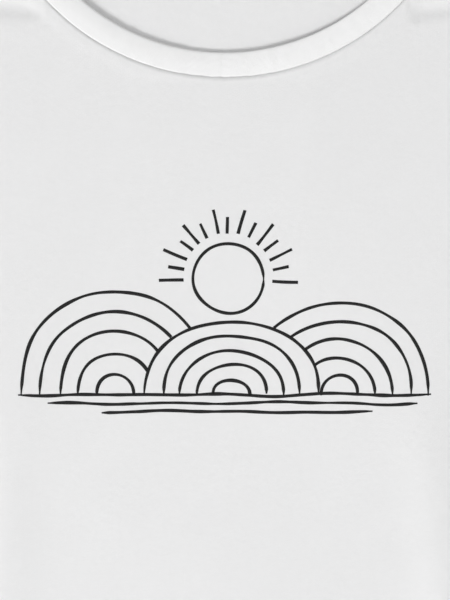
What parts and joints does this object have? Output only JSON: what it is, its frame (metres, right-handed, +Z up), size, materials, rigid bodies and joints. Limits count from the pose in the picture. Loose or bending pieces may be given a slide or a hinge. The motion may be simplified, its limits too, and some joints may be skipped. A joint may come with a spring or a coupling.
{
  "type": "t-shirt",
  "caption": "Short-sleeved crew-neck T-shirt of white cotton jersey, laid flat on its back, with a line drawing printed on the chest.",
  "frame": {"origin": "the middle of the laid-out shirt's outline, on the surface that it lies on", "axes": "+X towards the wearer's left, +Y from the hem to the neck, +Z up, out of the shirt's front"},
  "size_m": [0.7556, 0.6872, 0.0042],
  "materials": {
    "jersey": "matt white cotton single jersey",
    "band": "matt white cotton rib knit",
    "tape": "matt white twill tape",
    "thread": "white polyester sewing thread",
    "ink": "matt black screen-printing ink"
  },
  "bodies": {
    "root": {"front_body": "jersey", "back_body": "jersey", "left_sleeve": "jersey", "right_sleeve": "jersey", "neck_band": "band", "neck_tape": "tape"}
  },
  "joints": []
}
